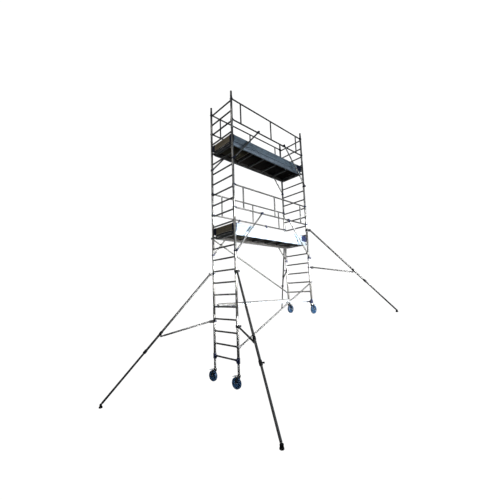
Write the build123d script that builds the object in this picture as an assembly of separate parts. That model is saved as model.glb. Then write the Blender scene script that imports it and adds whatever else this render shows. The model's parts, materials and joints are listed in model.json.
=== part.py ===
from build123d import *
import os
from math import atan2, cos, degrees, hypot, radians, sin

# Mobile tower scaffold, set up with its far end on ground that is one step higher.
# Millimetres, +Z up. +X runs from the low (near) end to the high (far) end, +Y across the tower.
# The origin is on the lower ground, under the centre of the box that the outrigger feet span.

os.makedirs("parts", exist_ok=True)

# ---- Driving dimensions of the tower ----
BAY_LENGTH = 2540.0        # near stiles to far stiles
FRAME_WIDTH = 755.0        # right stiles to left stiles
RUNG_PITCH = 250.0
FIRST_RUNG = 520.0         # lowest rung of the near end above the lower ground
GROUND_STEP = 1200.0       # height of the far end's ground above the near end's
NEAR_FIRST, FAR_FIRST = 1, 5        # lowest rung number of each end
LOWER_DECK_RUNG, UPPER_DECK_RUNG, BASE_DECK_RUNG = 11, 19, 5
LAST_RUNG = 23

# ---- Tubes ----
STILE_OD, STILE_WALL = 51.0, 2.0
RUNG_OD, RUNG_WALL = 35.0, 1.8
RAIL_OD, RAIL_WALL = 34.0, 1.8
DIAGONAL_OD, DIAGONAL_WALL = 32.0, 1.8
SPIGOT_OD, SPIGOT_WALL = 46.4, 2.5
SPIGOT_DEPTH, SPIGOT_RISE = 120.0, 95.0
JOINT_RISE, TOP_RISE = 80.0, 125.0     # a frame's last rung up to its stile ends

# ---- Corner castings at the lowest rungs ----
CASTING_DOWN, CASTING_UP = 55.0, 50.0
CASTING_WALL = 8.0
GUSSET_REACH, GUSSET_THICK = 95.0, 16.0

# ---- Decks ----
DECK_INSET = 50.0          # stile axis to the deck's side beam
DECK_END_GAP = 35.0        # rung axis to the deck's end beam
DECK_RISE = 65.0           # rung axis to the deck's top
BEAM_DEPTH, BEAM_WIDTH, BEAM_WALL = 95.0, 30.0, 2.5
BASE_BEAM_DEPTH = 60.0     # the base deck is shallower
CROSS_DEPTH, CROSS_WIDTH = 40.0, 40.0
PANEL_THICK = 12.0
CROSS_BEAM_X = (720.0, 1118.0, 1574.0, 2030.0)
HATCH_X, HATCH_Y = (130.0, 690.0), (115.0, 640.0)
HATCH_GAP = 5.0
HINGE_R, HINGE_LENGTH = 6.0, 70.0
HOOK_WIDTH, HOOK_WALL = 24.0, 9.0
BASE_HOOK_INSET = 104.0    # the base deck's hooks stand clear of the corner castings

# ---- Toe boards ----
BOARD_HEIGHT, BOARD_THICK = 150.0, 22.0
BOARD_INSET = 32.0         # stile axis to the side board's outer face
BOARD_END_GAP = 12.0       # rung axis to the end board's outer face
CORNER_LEG, CORNER_WALL = 70.0, 5.0

# ---- Guardrails ----
RAIL_RISE = 38.0           # rung axis to the rail that is clipped above it
POST_X = (270.0, 1280.0, 2300.0)
CLAW_HEIGHT, CLAW_WALL, CLAW_REACH = 34.0, 7.5, 62.0
BRACE_OFFSET = {"right": 44.0, "left": -11.0}     # stile axis outwards to the brace
BRACE_FOOT_BELOW = 380.0   # deck rung axis down to the brace's lower clamp
BRACE_REACH = 800.0        # stile axis to the brace's upper clamp
CLAMP_PLUG = 60.0          # clamp centre to the tube's end

# ---- Long diagonals: (side, near rung, far rung) ----
DIAGONAL_OFFSET = 44.0     # stile axis outwards to the diagonal
DIAGONALS = (("right", 2, 7), ("left", 11, 6))

# ---- Castors and adjustable legs ----
WHEEL_R, WHEEL_WIDTH = 110.0, 48.0
HUB_R, WEB_THICK, BOSS_R, BOSS_WIDTH = 84.0, 22.0, 24.0, 56.0
AXLE_R, RUNNING_GAP = 8.0, 0.05
TRAIL = 62.0
HEAD_R, HEAD_TOP, HEAD_BOTTOM = 33.0, 245.7, 226.0
FLANGE_BOTTOM, CASTOR_TOP, FLANGE_R = 246.0, 260.0, 36.0
KINGPIN_R = 10.0
FORK_INNER, FORK_WALL = 29.0, 5.0
LEG_OD, LEG_WALL, LEG_LENGTH = 44.4, 3.0, 610.0
PEDAL_PIVOT = (46.0, 234.0)        # along the trail, above the ground
PEDAL_TIP = (138.0, 220.0)
PEDAL_THICK, PEDAL_PIN_R, PEDAL_EAR = 5.0, 4.0, 4.0
PIVOT_DROP = 8.0           # pedal plate's root down to its pivot

# ---- Outriggers ----
LEG_OUTER_OD, LEG_OUTER_WALL = 42.0, 2.5
LEG_INNER_OD, LEG_INNER_WALL = 36.4, 2.2
STRUT_OD, STRUT_WALL = 34.0, 2.0
ARM_REACH = 80.0           # stile axis to the leg's top end
OUTER_SHARE = 0.67         # share of the leg that is the outer tube
STRUT_SHARE = 0.52         # where the strut meets the leg
STRUT_DROP, STRUT_GRIP = 64.0, 60.0    # strut eye below the leg's axis; eye to the strut's end
STRUT_EYE_R = 14.0
INNER_OVERLAP = 720.0
CLAMP_HEIGHT, CLAMP_OUTER_R, CLAMP_GAP = 46.0, 36.0, 0.4
COLLAR_OD, COLLAR_WALL = 54.2, 6.0
PIVOT_HEIGHT = 50.0        # foot pivot above the ground
FOOT_PIN_R, FOOT_EAR, FOOT_EYE = 6.0, 7.0, 24.0
FOOT_LENGTH, FOOT_WIDTH, FOOT_THICK = 68.0, 58.0, 24.0

# name: end, side, azimuth of the leg, reach to the foot, clamp height, strut height above own ground
OUTRIGGERS = {
    "near_left": ("near", "left", 170.3, 2090.0, 2222.0, 1222.0),
    "near_right": ("near", "right", -117.5, 2090.0, 2222.0, 1154.0),
    "far_left": ("far", "left", 46.0, 2030.0, 2200.0, 1180.0),
    "far_right": ("far", "right", -55.1, 2000.0, 2200.0, 1194.0),
}
# name: direction in which the wheel trails behind its swivel
CASTORS = {"near_left": 98.0, "near_right": 98.0, "far_left": 0.0, "far_right": 0.0}


# ---- Places ----
def foot_offset(name, part):
    """Foot position from the near right stile, before the origin is centred."""
    end, side, azimuth, reach, _, _ = OUTRIGGERS[name]
    start = (BAY_LENGTH * (end == "far"), FRAME_WIDTH * (side == "left"))[part]
    return start + reach * (cos, sin)[part](radians(azimuth))


FEET_X = [foot_offset(name, 0) for name in OUTRIGGERS]
FEET_Y = [foot_offset(name, 1) for name in OUTRIGGERS]
END_X = {"near": -(min(FEET_X) + max(FEET_X)) / 2}
END_X["far"] = END_X["near"] + BAY_LENGTH
SIDE_Y = {"right": -(min(FEET_Y) + max(FEET_Y)) / 2}
SIDE_Y["left"] = SIDE_Y["right"] + FRAME_WIDTH
GROUND = {"near": 0.0, "far": GROUND_STEP}
INWARD = {"right": 1.0, "left": -1.0}
NEAR_X, RIGHT_Y = END_X["near"], SIDE_Y["right"]


def rung_z(number):
    return FIRST_RUNG + (number - 1) * RUNG_PITCH


# ---- Building blocks ----
def rod(start, end, radius):
    span = Vector(*end) - Vector(*start)
    return extrude(Plane(origin=start, z_dir=span) * Circle(radius), span.length)


def tube(start, end, outer, wall):
    span = Vector(*end) - Vector(*start)
    ring = Circle(outer / 2) - Circle(outer / 2 - wall)
    return extrude(Plane(origin=start, z_dir=span) * ring, span.length)


def block(low, high):
    size = [h - l for l, h in zip(low, high)]
    centre = [(l + h) / 2 for l, h in zip(low, high)]
    return Pos(*centre) * Box(*size)


def box_beam(low, high, along):
    """A closed rectangular hollow beam, open at the two ends that face along the given axis."""
    inner_low = [v + (0 if i == along else BEAM_WALL) for i, v in enumerate(low)]
    inner_high = [v - (0 if i == along else BEAM_WALL) for i, v in enumerate(high)]
    return block(low, high) - block(inner_low, inner_high)


def group(shapes):
    return Compound([solid for shape in shapes for solid in shape.solids()])


def save(shapes, name):
    export_step(group(shapes), f"parts/{name}.step")


def on_side(shape, side):
    """Mirror a shape made for the right side when it belongs to the left."""
    middle = RIGHT_Y + FRAME_WIDTH / 2
    return shape if side == "right" else mirror(shape, Plane.XZ.offset(-middle))


def on_end(shape, end):
    """Mirror a shape made for the near end when it belongs to the far end."""
    middle = NEAR_X + BAY_LENGTH / 2
    return shape if end == "near" else mirror(shape, Plane.YZ.offset(middle))


# ---- Welded end frames ----
def rung(x, z):
    whole = tube((x, SIDE_Y["right"], z), (x, SIDE_Y["left"], z), RUNG_OD, RUNG_WALL)
    for y in SIDE_Y.values():
        whole -= rod((x, y, z - RUNG_OD), (x, y, z + RUNG_OD), STILE_OD / 2)
    return whole


def spigot(x, y, z):
    """Joint tube that is crimped into a stile and takes the next frame's stile over its upper end."""
    crimped = tube((x, y, z - SPIGOT_DEPTH), (x, y, z), SPIGOT_OD - 0.6, SPIGOT_WALL)
    return crimped + tube((x, y, z), (x, y, z + SPIGOT_RISE), SPIGOT_OD, SPIGOT_WALL)


def frame_top(last):
    return rung_z(last) + (TOP_RISE if last == LAST_RUNG else JOINT_RISE)


def end_frame(end, first, last, bottom):
    x, top = END_X[end], frame_top(last)
    pieces = [rung(x, rung_z(number)) for number in range(first, last + 1)]
    for y in SIDE_Y.values():
        pieces.append(tube((x, y, bottom), (x, y, top), STILE_OD, STILE_WALL))
        pieces.append(spigot(x, y, top))
    return pieces


BASE_TOP, LOWER_TOP, UPPER_TOP = 4, 12, 20
FRAMES = {
    "near_base_frame": ("near", NEAR_FIRST, BASE_TOP, rung_z(NEAR_FIRST) - CASTING_DOWN),
    "near_lower_frame": ("near", BASE_TOP + 1, LOWER_TOP, frame_top(BASE_TOP)),
    "near_upper_frame": ("near", LOWER_TOP + 1, UPPER_TOP, frame_top(LOWER_TOP)),
    "near_top_frame": ("near", UPPER_TOP + 1, LAST_RUNG, frame_top(UPPER_TOP)),
    "far_lower_frame": ("far", FAR_FIRST, LOWER_TOP, rung_z(FAR_FIRST) - CASTING_DOWN),
    "far_upper_frame": ("far", LOWER_TOP + 1, UPPER_TOP, frame_top(LOWER_TOP)),
    "far_top_frame": ("far", UPPER_TOP + 1, LAST_RUNG, frame_top(UPPER_TOP)),
}


def interlock_clip(x, y, z):
    """Spring clip that grips the stile just above a frame joint."""
    wire, gap, height = 5.0, 30.0, 14.0
    radius = STILE_OD / 2 + 0.1
    ring = Circle(radius + wire) - Circle(radius)
    clip = extrude(Plane.XY * (ring - Pos(0, -radius) * Rectangle(gap, gap)), height)
    return Pos(x, y, z + wire) * clip


def interlock_clips():
    joints = [("near", BASE_TOP), ("near", LOWER_TOP), ("near", UPPER_TOP)]
    joints += [("far", LOWER_TOP), ("far", UPPER_TOP)]
    return [interlock_clip(END_X[end], y, frame_top(last)) for end, last in joints for y in SIDE_Y.values()]


def corner_casting(end, side):
    """Sleeve round the stile with a concave gusset under the lowest rung."""
    x, y = END_X[end], RIGHT_Y
    z = rung_z(NEAR_FIRST if end == "near" else FAR_FIRST)
    outer = STILE_OD / 2 + CASTING_WALL
    body = rod((x, y, z - CASTING_DOWN), (x, y, z + CASTING_UP), outer)
    body += rod((x, y, z), (x, y + GUSSET_REACH, z), RUNG_OD / 2 + CASTING_WALL / 2)
    gusset = block((x - GUSSET_THICK / 2, y, z - CASTING_DOWN), (x + GUSSET_THICK / 2, y + GUSSET_REACH, z))
    hollow = Pos(x, y + GUSSET_REACH, z - CASTING_DOWN) * Rot(0, 90, 0)
    hollow_r = min(GUSSET_REACH - outer, CASTING_DOWN - RUNG_OD / 2) * 1.15
    body += gusset - hollow * Cylinder(hollow_r, 2 * GUSSET_THICK)
    body -= rod((x, y, z - 2 * CASTING_DOWN), (x, y, z + 2 * CASTING_UP), STILE_OD / 2)
    body -= rod((x, y, z), (x, y + FRAME_WIDTH, z), RUNG_OD / 2)
    return on_side(body, side)


# ---- Decks ----
def deck_span():
    x0, x1 = NEAR_X + DECK_END_GAP, NEAR_X + BAY_LENGTH - DECK_END_GAP
    y0, y1 = RIGHT_Y + DECK_INSET, RIGHT_Y + FRAME_WIDTH - DECK_INSET
    return x0, x1, y0, y1


def deck_frame(number):
    """Two side beams, two end beams and the cross beams that carry the panel."""
    x0, x1, y0, y1 = deck_span()
    top = rung_z(number) + DECK_RISE
    bottom = top - (BASE_BEAM_DEPTH if number == BASE_DECK_RUNG else BEAM_DEPTH)
    under = top - PANEL_THICK
    pieces = [
        box_beam((x0, y0, bottom), (x1, y0 + BEAM_WIDTH, top), 0),
        box_beam((x0, y1 - BEAM_WIDTH, bottom), (x1, y1, top), 0),
    ]
    for x in (x0, x1 - CROSS_WIDTH):
        low = (x, y0 + BEAM_WIDTH, bottom)
        pieces.append(box_beam(low, (x + CROSS_WIDTH, y1 - BEAM_WIDTH, under), 1))
    for x in CROSS_BEAM_X:
        low = (NEAR_X + x, y0 + BEAM_WIDTH, under - CROSS_DEPTH)
        pieces.append(box_beam(low, (NEAR_X + x + CROSS_WIDTH, y1 - BEAM_WIDTH, under), 1))
    return pieces


def deck_panel(number, hatch):
    """One plywood sheet, or a main sheet and the strips that frame the hatch opening."""
    x0, x1, y0, y1 = deck_span()
    top = rung_z(number) + DECK_RISE
    y0, y1, under = y0 + BEAM_WIDTH, y1 - BEAM_WIDTH, top - PANEL_THICK
    if not hatch:
        return [block((x0, y0, under), (x1, y1, top))]
    hx0, hx1 = (NEAR_X + x for x in HATCH_X)
    hy0, hy1 = (RIGHT_Y + y for y in HATCH_Y)
    boards = [
        block((x0, y0, under), (hx0, y1, top)),
        block((hx0, y0, under), (hx1, hy0, top)),
        block((hx0, hy1, under), (hx1, y1, top)),
        block((hx1, y0, under), (x1, y1, top)),
    ]
    return boards + hatch_knuckles(top, (1,))


def hatch_knuckles(top, places):
    """Hinge barrels along the hatch's left edge: place 1 is fixed, places 0 and 2 turn."""
    y, z = RIGHT_Y + HATCH_Y[1], top + HINGE_R
    start = NEAR_X + HATCH_X[0] + HINGE_LENGTH
    pitch = (HATCH_X[1] - HATCH_X[0] - 3 * HINGE_LENGTH) / 2
    barrels = []
    for place in places:
        x = start + place * pitch
        barrels.append(rod((x, y, z + 0.3), (x + HINGE_LENGTH, y, z + 0.3), HINGE_R))
    return barrels


def hatch_panel(number):
    top = rung_z(number) + DECK_RISE
    low = (NEAR_X + HATCH_X[0] + HATCH_GAP, RIGHT_Y + HATCH_Y[0] + HATCH_GAP, top - PANEL_THICK)
    high = (NEAR_X + HATCH_X[1] - HATCH_GAP, RIGHT_Y + HATCH_Y[1] - HATCH_GAP, top)
    panel = block(low, high)
    grip_x, grip_y = (low[0] + high[0]) / 2, low[1] + CROSS_WIDTH
    grip = block((grip_x - HINGE_LENGTH, grip_y, low[2] - 1), (grip_x + HINGE_LENGTH, grip_y + BEAM_WIDTH, top + 1))
    leaves = []
    for barrel in hatch_knuckles(top, (0, 2)):
        box = barrel.bounding_box()
        leaf = block((box.min.X, high[1] - CROSS_WIDTH, top), (box.max.X, box.center().Y, top + 3))
        leaves.append(barrel + (leaf - barrel))
    return [panel - grip] + leaves


def deck_hook(end, side, number):
    """Claw over the rung, bolted to the end of a deck."""
    x, z = NEAR_X, rung_z(number)
    y0 = RIGHT_Y + (BASE_HOOK_INSET if number == BASE_DECK_RUNG else DECK_INSET)
    outer = RUNG_OD / 2 + HOOK_WALL
    claw = rod((x, y0, z), (x, y0 + HOOK_WIDTH, z), outer)
    claw -= block((x - 2 * outer, y0, z - 2 * outer), (x + 2 * outer, y0 + HOOK_WIDTH, z))
    claw += block((x, y0, z - HOOK_WIDTH), (x + DECK_END_GAP, y0 + HOOK_WIDTH, z + outer))
    claw += block((x - outer, y0, z - HOOK_WALL), (x - RUNG_OD / 2, y0 + HOOK_WIDTH, z))
    claw -= rod((x, y0, z), (x, y0 + HOOK_WIDTH, z), RUNG_OD / 2 + 0.1)
    claw -= block((x - RUNG_OD / 2, y0, z - outer), (x + RUNG_OD / 2 + 0.1, y0 + HOOK_WIDTH, z))
    return on_end(on_side(claw, side), end)


# ---- Toe boards ----
def toe_boards(number):
    bottom = rung_z(number) + DECK_RISE
    top = bottom + BOARD_HEIGHT
    pieces = []
    for side in SIDE_Y:
        y = RIGHT_Y + BOARD_INSET
        low = (NEAR_X + BOARD_END_GAP + BOARD_THICK, y, bottom)
        board = block(low, (NEAR_X + BAY_LENGTH - BOARD_END_GAP - BOARD_THICK, y + BOARD_THICK, top))
        pieces.append(on_side(board, side))
    for end in END_X:
        low = (NEAR_X + BOARD_END_GAP, RIGHT_Y + BOARD_INSET, bottom)
        high = (NEAR_X + BOARD_END_GAP + BOARD_THICK, RIGHT_Y + FRAME_WIDTH - BOARD_INSET, top)
        pieces.append(on_end(block(low, high), end))
    return pieces


def toe_board_corner(end, side, number):
    """Moulded cover that wraps the outer corner of two toe boards."""
    bottom = rung_z(number) + DECK_RISE
    x, y = NEAR_X + BOARD_END_GAP, RIGHT_Y + BOARD_INSET
    height = BOARD_HEIGHT + CORNER_WALL
    cover = block((x - CORNER_WALL, y - CORNER_WALL, bottom), (x + CORNER_LEG, y + CORNER_LEG, bottom + height))
    cover -= block((x, y, bottom), (x + CORNER_LEG, y + CORNER_LEG, bottom + BOARD_HEIGHT))
    inner = BOARD_THICK + CORNER_WALL
    cover -= block((x + inner, y + inner, bottom), (x + CORNER_LEG, y + CORNER_LEG, bottom + height))
    return on_end(on_side(cover, side), end)


# ---- Guardrails ----
def rail_levels(number):
    return rung_z(number + 2) + RAIL_RISE, rung_z(number + 4) + RAIL_RISE


def guardrail(number):
    """Side frames of two rails and three posts, for the right and the left side."""
    low, high = rail_levels(number)
    y = RIGHT_Y
    x0, x1 = NEAR_X + CLAW_REACH, NEAR_X + BAY_LENGTH - CLAW_REACH
    pieces = [tube((x0, y, z), (x1, y, z), RAIL_OD, RAIL_WALL) for z in (low, high)]
    for offset in POST_X:
        x = NEAR_X + offset
        post = tube((x, y, low), (x, y, high), RAIL_OD, RAIL_WALL)
        for z in (low, high):
            post -= rod((x - RAIL_OD, y, z), (x + RAIL_OD, y, z), RAIL_OD / 2)
        pieces.append(post)
    return [on_side(piece, side) for piece in pieces for side in SIDE_Y]


def guardrail_claw(end, side, z):
    """Open claw that snaps round the stile and plugs the end of a rail."""
    x, y = NEAR_X, RIGHT_Y
    inner, outer = STILE_OD / 2 + 0.1, STILE_OD / 2 + CLAW_WALL
    low = z - CLAW_HEIGHT / 2
    claw = rod((x, y, low), (x, y, low + CLAW_HEIGHT), outer)
    claw += rod((x, y, z), (x + CLAW_REACH, y, z), RAIL_OD / 2 - 1)
    claw -= rod((x, y, low - 1), (x, y, low + CLAW_HEIGHT + 1), inner)
    claw -= block((x - 2 * outer, y - inner, low), (x - inner / 2, y + inner, low + CLAW_HEIGHT))
    return on_end(on_side(claw, side), end)


def brace_ends(side, number):
    """Lower and upper clamp centres of a guardrail brace, at the near end, as made for the right side."""
    y = RIGHT_Y - BRACE_OFFSET[side]
    foot = (NEAR_X, y, rung_z(number) - BRACE_FOOT_BELOW)
    head = (NEAR_X + BRACE_REACH, y, rail_levels(number)[0])
    return foot, head


def towards(start, end, distance):
    span = Vector(*end) - Vector(*start)
    return tuple(Vector(*start) + span * (distance / span.length))


def guardrail_brace(end, side, number):
    foot, head = brace_ends(side, number)
    start, stop = towards(foot, head, CLAMP_PLUG), towards(head, foot, CLAMP_PLUG)
    return on_end(on_side(tube(start, stop, RAIL_OD, RAIL_WALL), side), end)


def clamp_block(centre, y):
    """Block from a tube's axis at y out to a brace whose clamp centre lies beside it."""
    half = CLAW_HEIGHT / 2
    near, far = sorted((y, centre[1] + (half if centre[1] > y else -half)))
    return block((centre[0] - half, near, centre[2] - half), (centre[0] + half, far, centre[2] + half))


def brace_foot_clamp(end, side, number):
    foot, head = brace_ends(side, number)
    x, y, z = foot[0], RIGHT_Y, foot[2]
    half = CLAW_HEIGHT / 2
    clamp = rod((x, y, z - half), (x, y, z + half), STILE_OD / 2 + CLAW_WALL)
    clamp += clamp_block(foot, y) + rod(foot, towards(foot, head, CLAMP_PLUG), RAIL_OD / 2)
    clamp -= rod((x, y, z - 2 * half), (x, y, z + 2 * CLAMP_PLUG), STILE_OD / 2 + 0.1)
    return on_end(on_side(clamp, side), end)


def brace_head_clamp(end, side, number):
    foot, head = brace_ends(side, number)
    x, y, z = head[0], RIGHT_Y, head[2]
    half = CLAW_HEIGHT / 2
    clamp = rod((x - half, y, z), (x + half, y, z), RAIL_OD / 2 + CLAW_WALL)
    clamp += clamp_block(head, y) + rod(head, towards(head, foot, CLAMP_PLUG), RAIL_OD / 2)
    clamp -= rod((x - 2 * CLAMP_PLUG, y, z), (x + 2 * half, y, z), RAIL_OD / 2 + 0.1)
    return on_end(on_side(clamp, side), end)


# ---- Long diagonals ----
def diagonal_ends(side, near_rung, far_rung):
    y = SIDE_Y[side] - INWARD[side] * DIAGONAL_OFFSET
    return (END_X["near"], y, rung_z(near_rung)), (END_X["far"], y, rung_z(far_rung))


def long_diagonal(side, near_rung, far_rung):
    start, end = diagonal_ends(side, near_rung, far_rung)
    return tube(towards(start, end, CLAMP_PLUG), towards(end, start, CLAMP_PLUG), DIAGONAL_OD, DIAGONAL_WALL)


def diagonal_claw(side, start, end):
    """Claw round the outside of a stile, open towards the rung, with its release trigger on the neck."""
    x, y, z = start[0], SIDE_Y[side], start[2]
    half, inner = CLAW_HEIGHT / 2, STILE_OD / 2 + 0.1
    claw = rod((x, y, z - half), (x, y, z + half), inner + CLAW_WALL)
    claw += clamp_block(start, y) + rod(start, towards(start, end, CLAMP_PLUG), DIAGONAL_OD / 2)
    trigger = towards(start, end, CLAMP_PLUG - DIAGONAL_OD * 0.7)
    claw += Pos(*trigger) * Pos(0, 0, DIAGONAL_OD / 2) * Sphere(DIAGONAL_OD / 3)
    claw -= rod((x, y, z - 2 * half), (x, y, z + 2 * half), inner)
    mouth = sorted((y + INWARD[side] * inner / 2, y + INWARD[side] * 2 * inner))
    claw -= block((x - inner, mouth[0], z - half), (x + inner, mouth[1], z + half))
    return claw


# ---- Castors: made with the swivel axis at the origin, trailing along +X ----
def castor_leg():
    """Adjustable leg with the castor's fixed flange and kingpin."""
    flange = rod((0, 0, FLANGE_BOTTOM), (0, 0, CASTOR_TOP), FLANGE_R)
    kingpin = rod((0, 0, HEAD_BOTTOM + 3), (0, 0, FLANGE_BOTTOM), KINGPIN_R)
    return [flange, kingpin, tube((0, 0, CASTOR_TOP), (0, 0, CASTOR_TOP + LEG_LENGTH), LEG_OD, LEG_WALL)]


def castor_fork():
    """Swivel head, bridge, two side plates, the axle and the pedal's pins."""
    outer, shoulder = FORK_INNER + FORK_WALL, HEAD_BOTTOM + FORK_WALL
    kingpin_way = rod((0, 0, 0), (0, 0, HEAD_TOP + 1), KINGPIN_R + RUNNING_GAP)
    head = rod((0, 0, shoulder), (0, 0, HEAD_TOP), HEAD_R) - kingpin_way
    bridge = block((-HEAD_R / 2, -FORK_INNER, HEAD_BOTTOM), (HEAD_R, FORK_INNER, shoulder)) - kingpin_way
    nut = 9.0
    axle = rod((TRAIL, -outer - nut, WHEEL_R), (TRAIL, outer + nut, WHEEL_R), AXLE_R)
    pieces = [head, bridge, axle]
    eye = 20.0
    profile = Polygon(
        (-HEAD_R / 2, shoulder), (HEAD_R + 18, shoulder), (TRAIL + eye, WHEEL_R), (TRAIL - eye, WHEEL_R), align=None
    ) + Pos(TRAIL, WHEEL_R) * Circle(eye)
    middle = (FORK_INNER + outer) / 2
    px, pz = PEDAL_PIVOT[0], PEDAL_PIVOT[1] - PIVOT_DROP
    for sign in (1, -1):
        pieces.append(Pos(0, sign * middle, 0) * extrude(Plane.XZ * profile, FORK_WALL / 2, both=True) - axle)
        pieces.append(rod((px, sign * outer, pz), (px, sign * (outer + PEDAL_EAR + 2), pz), PEDAL_PIN_R))
    return pieces


def castor_wheel():
    """Tyre round a webbed hub that runs on the fork's axle."""
    tread = WHEEL_WIDTH / 2
    side = tread - 8
    bore = AXLE_R + RUNNING_GAP
    tyre_half = Polygon((0, HUB_R), (tread, HUB_R), (tread, WHEEL_R - 14), (side, WHEEL_R), (0, WHEEL_R), align=None)
    tyre = revolve(Plane.YZ * (tyre_half + mirror(tyre_half, Plane.YZ)), Axis.Y)
    hub_half = Polygon(
        (0, bore), (BOSS_WIDTH / 2, bore), (BOSS_WIDTH / 2, BOSS_R), (WEB_THICK / 2, BOSS_R + 6),
        (WEB_THICK / 2, HUB_R - 10), (tread - 2, HUB_R - 4), (tread - 2, HUB_R), (0, HUB_R), align=None,
    )
    hub = revolve(Plane.YZ * (hub_half + mirror(hub_half, Plane.YZ)), Axis.Y)
    return [Pos(TRAIL, 0, WHEEL_R) * tyre, Pos(TRAIL, 0, WHEEL_R) * hub]


def brake_pedal():
    """Foot pedal over the wheel, with an ear on each side of the fork."""
    px, pz = PEDAL_PIVOT
    tx, tz = PEDAL_TIP
    inner = FORK_INNER + FORK_WALL + 0.3
    outer = inner + PEDAL_EAR
    tilt = degrees(atan2(tz - pz, tx - px))
    length = hypot(tx - px, tz - pz)
    plate = Pos(px, 0, pz + 4) * Rot(0, -tilt, 0) * block((0, -outer, 0), (length, outer, PEDAL_THICK))
    pieces = [plate]
    pivot_z = pz - PIVOT_DROP
    for y in (inner, -outer):
        ear = block((px - 8, y, pivot_z - 8), (px + 14, y + PEDAL_EAR, pz + 6)) - plate
        pieces.append(ear - rod((px, y - 1, pivot_z), (px, y + PEDAL_EAR + 1, pivot_z), PEDAL_PIN_R + RUNNING_GAP))
    return pieces


# ---- Outriggers: made with the stile axis at the origin, reaching along +X, own ground at z = 0 ----
def leg_line(reach, clamp_height):
    return (ARM_REACH, 0, clamp_height), (reach, 0, PIVOT_HEIGHT)


def leg_point(reach, clamp_height, share):
    start, end = leg_line(reach, clamp_height)
    return towards(start, end, (Vector(*end) - Vector(*start)).length * share)


def stile_clamp(z, arm_end, jaw):
    """Ring round the stile with a forked arm that takes a tube end, and a turning knob."""
    half, cheek = CLAMP_HEIGHT / 2, 6.0
    outer = rod((0, 0, z - half), (0, 0, z + half), CLAMP_OUTER_R)
    ring = outer - rod((0, 0, z - half), (0, 0, z + half), STILE_OD / 2 + CLAMP_GAP)
    root, knob_y = arm_end - 40, CLAMP_OUTER_R + 22
    arm = block((0, -14, z - half + 4), (root, 14, z + half - 4)) - outer
    yoke = block((root, -jaw, z - half), (root + 12, jaw, z + half))
    stem = rod((0, CLAMP_OUTER_R - 4, z), (0, knob_y, z), 7) - outer
    pieces = [ring, arm, yoke, stem, rod((0, knob_y, z), (0, knob_y + 14, z), 19)]
    for y in (jaw, -jaw - cheek):
        pieces.append(block((root, y, z - half - 12), (arm_end + 24, y + cheek, z + half)))
    return pieces


def collar(start, end, share_mm, length):
    """Ring on a tube, from a distance along its axis."""
    low, high = towards(start, end, share_mm - length / 2), towards(start, end, share_mm + length / 2)
    return tube(low, high, COLLAR_OD, COLLAR_WALL)


def outrigger_tube(reach, clamp_height):
    start, end = leg_line(reach, clamp_height)
    length = (Vector(*end) - Vector(*start)).length
    stop = leg_point(reach, clamp_height, OUTER_SHARE)
    lock_at = length * OUTER_SHARE - 30
    knob_at = Vector(*towards(start, end, lock_at))
    knob = rod(tuple(knob_at), tuple(knob_at + Vector(0, COLLAR_OD / 2 + 24, 0)), 12)
    return stile_clamp(clamp_height, ARM_REACH, LEG_OUTER_OD / 2 + 0.2) + [
        tube(start, stop, LEG_OUTER_OD, LEG_OUTER_WALL),
        collar(start, end, lock_at, 70),
        knob - rod(start, end, COLLAR_OD / 2),
    ]


def outrigger_strut(reach, clamp_height, strut_height):
    """Strut between a second stile clamp and an eye that hangs from a ring on the leg."""
    start = (ARM_REACH, 0, strut_height)
    joint = leg_point(reach, clamp_height, STRUT_SHARE)
    leg_start, leg_end = leg_line(reach, clamp_height)
    ring_at = (Vector(*joint) - Vector(*leg_start)).length
    low = (joint[0], 0, joint[2] - STRUT_DROP)
    eye = rod((low[0], -STRUT_OD / 2, low[2]), (low[0], STRUT_OD / 2, low[2]), STRUT_EYE_R)
    stem = rod(joint, low, STRUT_EYE_R - 3) - rod(leg_start, leg_end, COLLAR_OD / 2) - eye
    grip = towards(low, start, STRUT_GRIP)
    neck = rod(low, grip, STRUT_EYE_R) - eye
    return stile_clamp(strut_height, ARM_REACH, STRUT_OD / 2 + 0.2) + [
        tube(start, grip, STRUT_OD, STRUT_WALL), collar(leg_start, leg_end, ring_at, 56), eye, stem, neck,
    ]


def outrigger_inner(reach, clamp_height):
    """Telescoping inner tube with the eye of the foot pivot."""
    start, end = leg_line(reach, clamp_height)
    length = (Vector(*end) - Vector(*start)).length
    low = towards(start, end, length * OUTER_SHARE - INNER_OVERLAP)
    neck = FOOT_EYE + 6
    inner = tube(low, towards(end, start, neck), LEG_INNER_OD, LEG_INNER_WALL)
    eye = rod((end[0], -FOOT_EYE / 2, end[2]), (end[0], FOOT_EYE / 2, end[2]), FOOT_EYE - 6)
    eye += rod(end, towards(end, start, neck), FOOT_EYE / 2 - 2)
    eye += rod(towards(end, start, neck - 6), towards(end, start, neck), LEG_INNER_OD / 2)
    eye -= rod((end[0], -FOOT_EYE, end[2]), (end[0], FOOT_EYE, end[2]), FOOT_PIN_R + RUNNING_GAP)
    return [inner, eye]


def outrigger_foot(reach):
    """Rubber pad with two ears and the pivot pin."""
    x, z = reach, PIVOT_HEIGHT
    pad = block((x - FOOT_LENGTH / 2, -FOOT_WIDTH / 2, 0), (x + FOOT_LENGTH / 2, FOOT_WIDTH / 2, FOOT_THICK))
    pad = fillet(pad.edges().filter_by(Axis.Z), FOOT_WIDTH / 3)
    inner, radius = FOOT_EYE / 2 + 0.5, 17.0
    reach_y = inner + FOOT_EAR + 4
    pin = rod((x, -reach_y, z), (x, reach_y, z), FOOT_PIN_R)
    pieces = [pad, pin]
    for y in (inner, -inner - FOOT_EAR):
        ear = block((x - radius, y, FOOT_THICK), (x + radius, y + FOOT_EAR, z))
        pieces.append(ear + rod((x, y, z), (x, y + FOOT_EAR, z), radius) - pin)
    return pieces


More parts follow.
